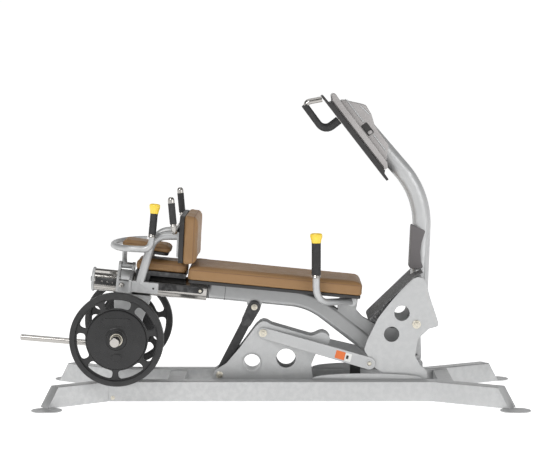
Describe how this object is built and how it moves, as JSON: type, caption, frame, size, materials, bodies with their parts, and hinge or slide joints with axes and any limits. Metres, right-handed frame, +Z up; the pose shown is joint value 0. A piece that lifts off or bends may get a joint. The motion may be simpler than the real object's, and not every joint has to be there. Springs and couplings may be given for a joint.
{
  "type": "hip thrust machine",
  "caption": "Plate-loaded bench on a swinging link frame with a back pad, head rest, foot plate and headed mast.",
  "frame": {"origin": "on the floor, at the middle of the machine's length and width", "axes": "+X from the weight plates to the foot plate, -Y the near side, +Z up"},
  "size_m": [2.472, 1.052, 1.4915],
  "materials": {
    "silver_paint": "satin metallic",
    "chrome": "polished",
    "zinc": "zinc plated",
    "black_paint": "satin",
    "cast_iron": "matte coated",
    "grip_rubber": "matte",
    "tan_vinyl": "matte grained",
    "yellow_plastic": "gloss",
    "tread": "coarse textured",
    "pale_plastic": "satin",
    "black_board": "satin"
  },
  "bodies": {
    "base": {"rail_near": "silver_paint", "rail_far": "silver_paint", "leg_left_near": "silver_paint", "leg_left_far": "silver_paint", "cross_tube_left": "silver_paint", "cross_tube_right": "silver_paint", "tower_base": "silver_paint", "tower_plate_near": "silver_paint", "tower_plate_far": "silver_paint", "tower_sleeve": "silver_paint", "tie_bar_near": "silver_paint", "tie_bar_far": "silver_paint", "tie_bolt_tower": "zinc", "side_plate_near": "silver_paint", "side_plate_far": "silver_paint", "foot_plate": "tread", "mast_guard": "tread", "mast": "silver_paint", "head_housing": "pale_plastic", "head_board": "black_board", "head_handle_near": "chrome", "head_handle_far": "chrome", "head_grip_near": "grip_rubber", "head_grip_far": "grip_rubber", "stop_bumper": "grip_rubber", "rocker_base_pin": "zinc", "rear_pivot_pin": "zinc"},
    "front_rocker": {"front_rocker": "black_paint", "rocker_top_pin": "zinc"},
    "rear_rocker": {"rear_rocker": "silver_paint"},
    "bench": {"beam": "silver_paint", "slide_tube": "chrome", "tube_end_cap": "silver_paint", "index_rail": "black_paint", "rail_bolt": "zinc", "bench_board": "black_board", "bench_pad": "tan_vinyl", "weight_hanger": "silver_paint", "horn_bar": "chrome", "rear_peg": "chrome"},
    "release_lever": {"release_lever": "silver_paint", "release_grip": "grip_rubber", "release_cap": "yellow_plastic"},
    "weight_plate_near": {"weight_plate_near": "cast_iron"},
    "weight_plate_far": {"weight_plate_far": "cast_iron"},
    "carriage": {"carriage_saddle": "silver_paint", "carriage_frame": "silver_paint", "handle_bar": "chrome", "side_grip_near": "grip_rubber", "side_grip_far": "grip_rubber", "back_board": "black_board", "back_pad": "tan_vinyl", "head_rest_board": "black_board", "head_rest_pad": "tan_vinyl", "rear_tray": "black_paint", "rear_pad": "tan_vinyl"},
    "loop_lever": {"loop_lever": "silver_paint", "loop_grip": "grip_rubber", "loop_cap": "yellow_plastic"},
    "lock_pin": {"lock_pin": "chrome"}
  },
  "joints": [
    {"name": "rocker_swing", "type": "hinge", "parent": "base", "child": "front_rocker", "pos_m": [-0.249, 0, 0.109], "axis": [0, -1, 0], "range_deg": [0, 15]},
    {"name": "bench_pivot", "type": "hinge", "parent": "front_rocker", "child": "bench", "pos_m": [-0.077, 0, 0.442], "axis": [0, -1, 0], "range_deg": [-17, 2]},
    {"name": "rear_rocker_swing", "type": "hinge", "parent": "base", "child": "rear_rocker", "pos_m": [0.714, 0, 0.372], "axis": [0, -1, 0], "range_deg": [-32, 2]},
    {"name": "carriage_slide", "type": "slide", "parent": "bench", "child": "carriage", "axis": [0.9952, 0, -0.0976], "range_m": [-0.0762, 0]},
    {"name": "loop_lever_turn", "type": "hinge", "parent": "carriage", "child": "loop_lever", "pos_m": [-0.71543, 0, 0.64595], "axis": [-0.9952, 0, 0.0976], "range_deg": [0, 5], "stiffness_Nm_per_rad": 40, "springref_deg": -6.88},
    {"name": "lock_pin_slide", "type": "slide", "parent": "carriage", "child": "lock_pin", "axis": [0, -1, 0], "range_m": [0, 0.0103]},
    {"name": "release_lever_turn", "type": "hinge", "parent": "bench", "child": "release_lever", "pos_m": [0.402, -0.06, 0.474], "axis": [0, -1, 0], "range_deg": [0, 12], "stiffness_Nm_per_rad": 20, "springref_deg": -5.73},
    {"name": "plate_near_slide", "type": "slide", "parent": "bench", "child": "weight_plate_near", "axis": [0, -1, 0], "range_m": [0, 0.15]},
    {"name": "plate_far_slide", "type": "slide", "parent": "bench", "child": "weight_plate_far", "axis": [0, 1, 0], "range_m": [0, 0.15]}
  ],
  "couplings": [
    {"joint": "bench_pivot", "follows": "rocker_swing", "ratio": -1.072},
    {"joint": "rear_rocker_swing", "follows": "rocker_swing", "ratio": -2.111},
    {"joint": "lock_pin_slide", "follows": "loop_lever_turn", "m_per_rad": 0.115}
  ]
}
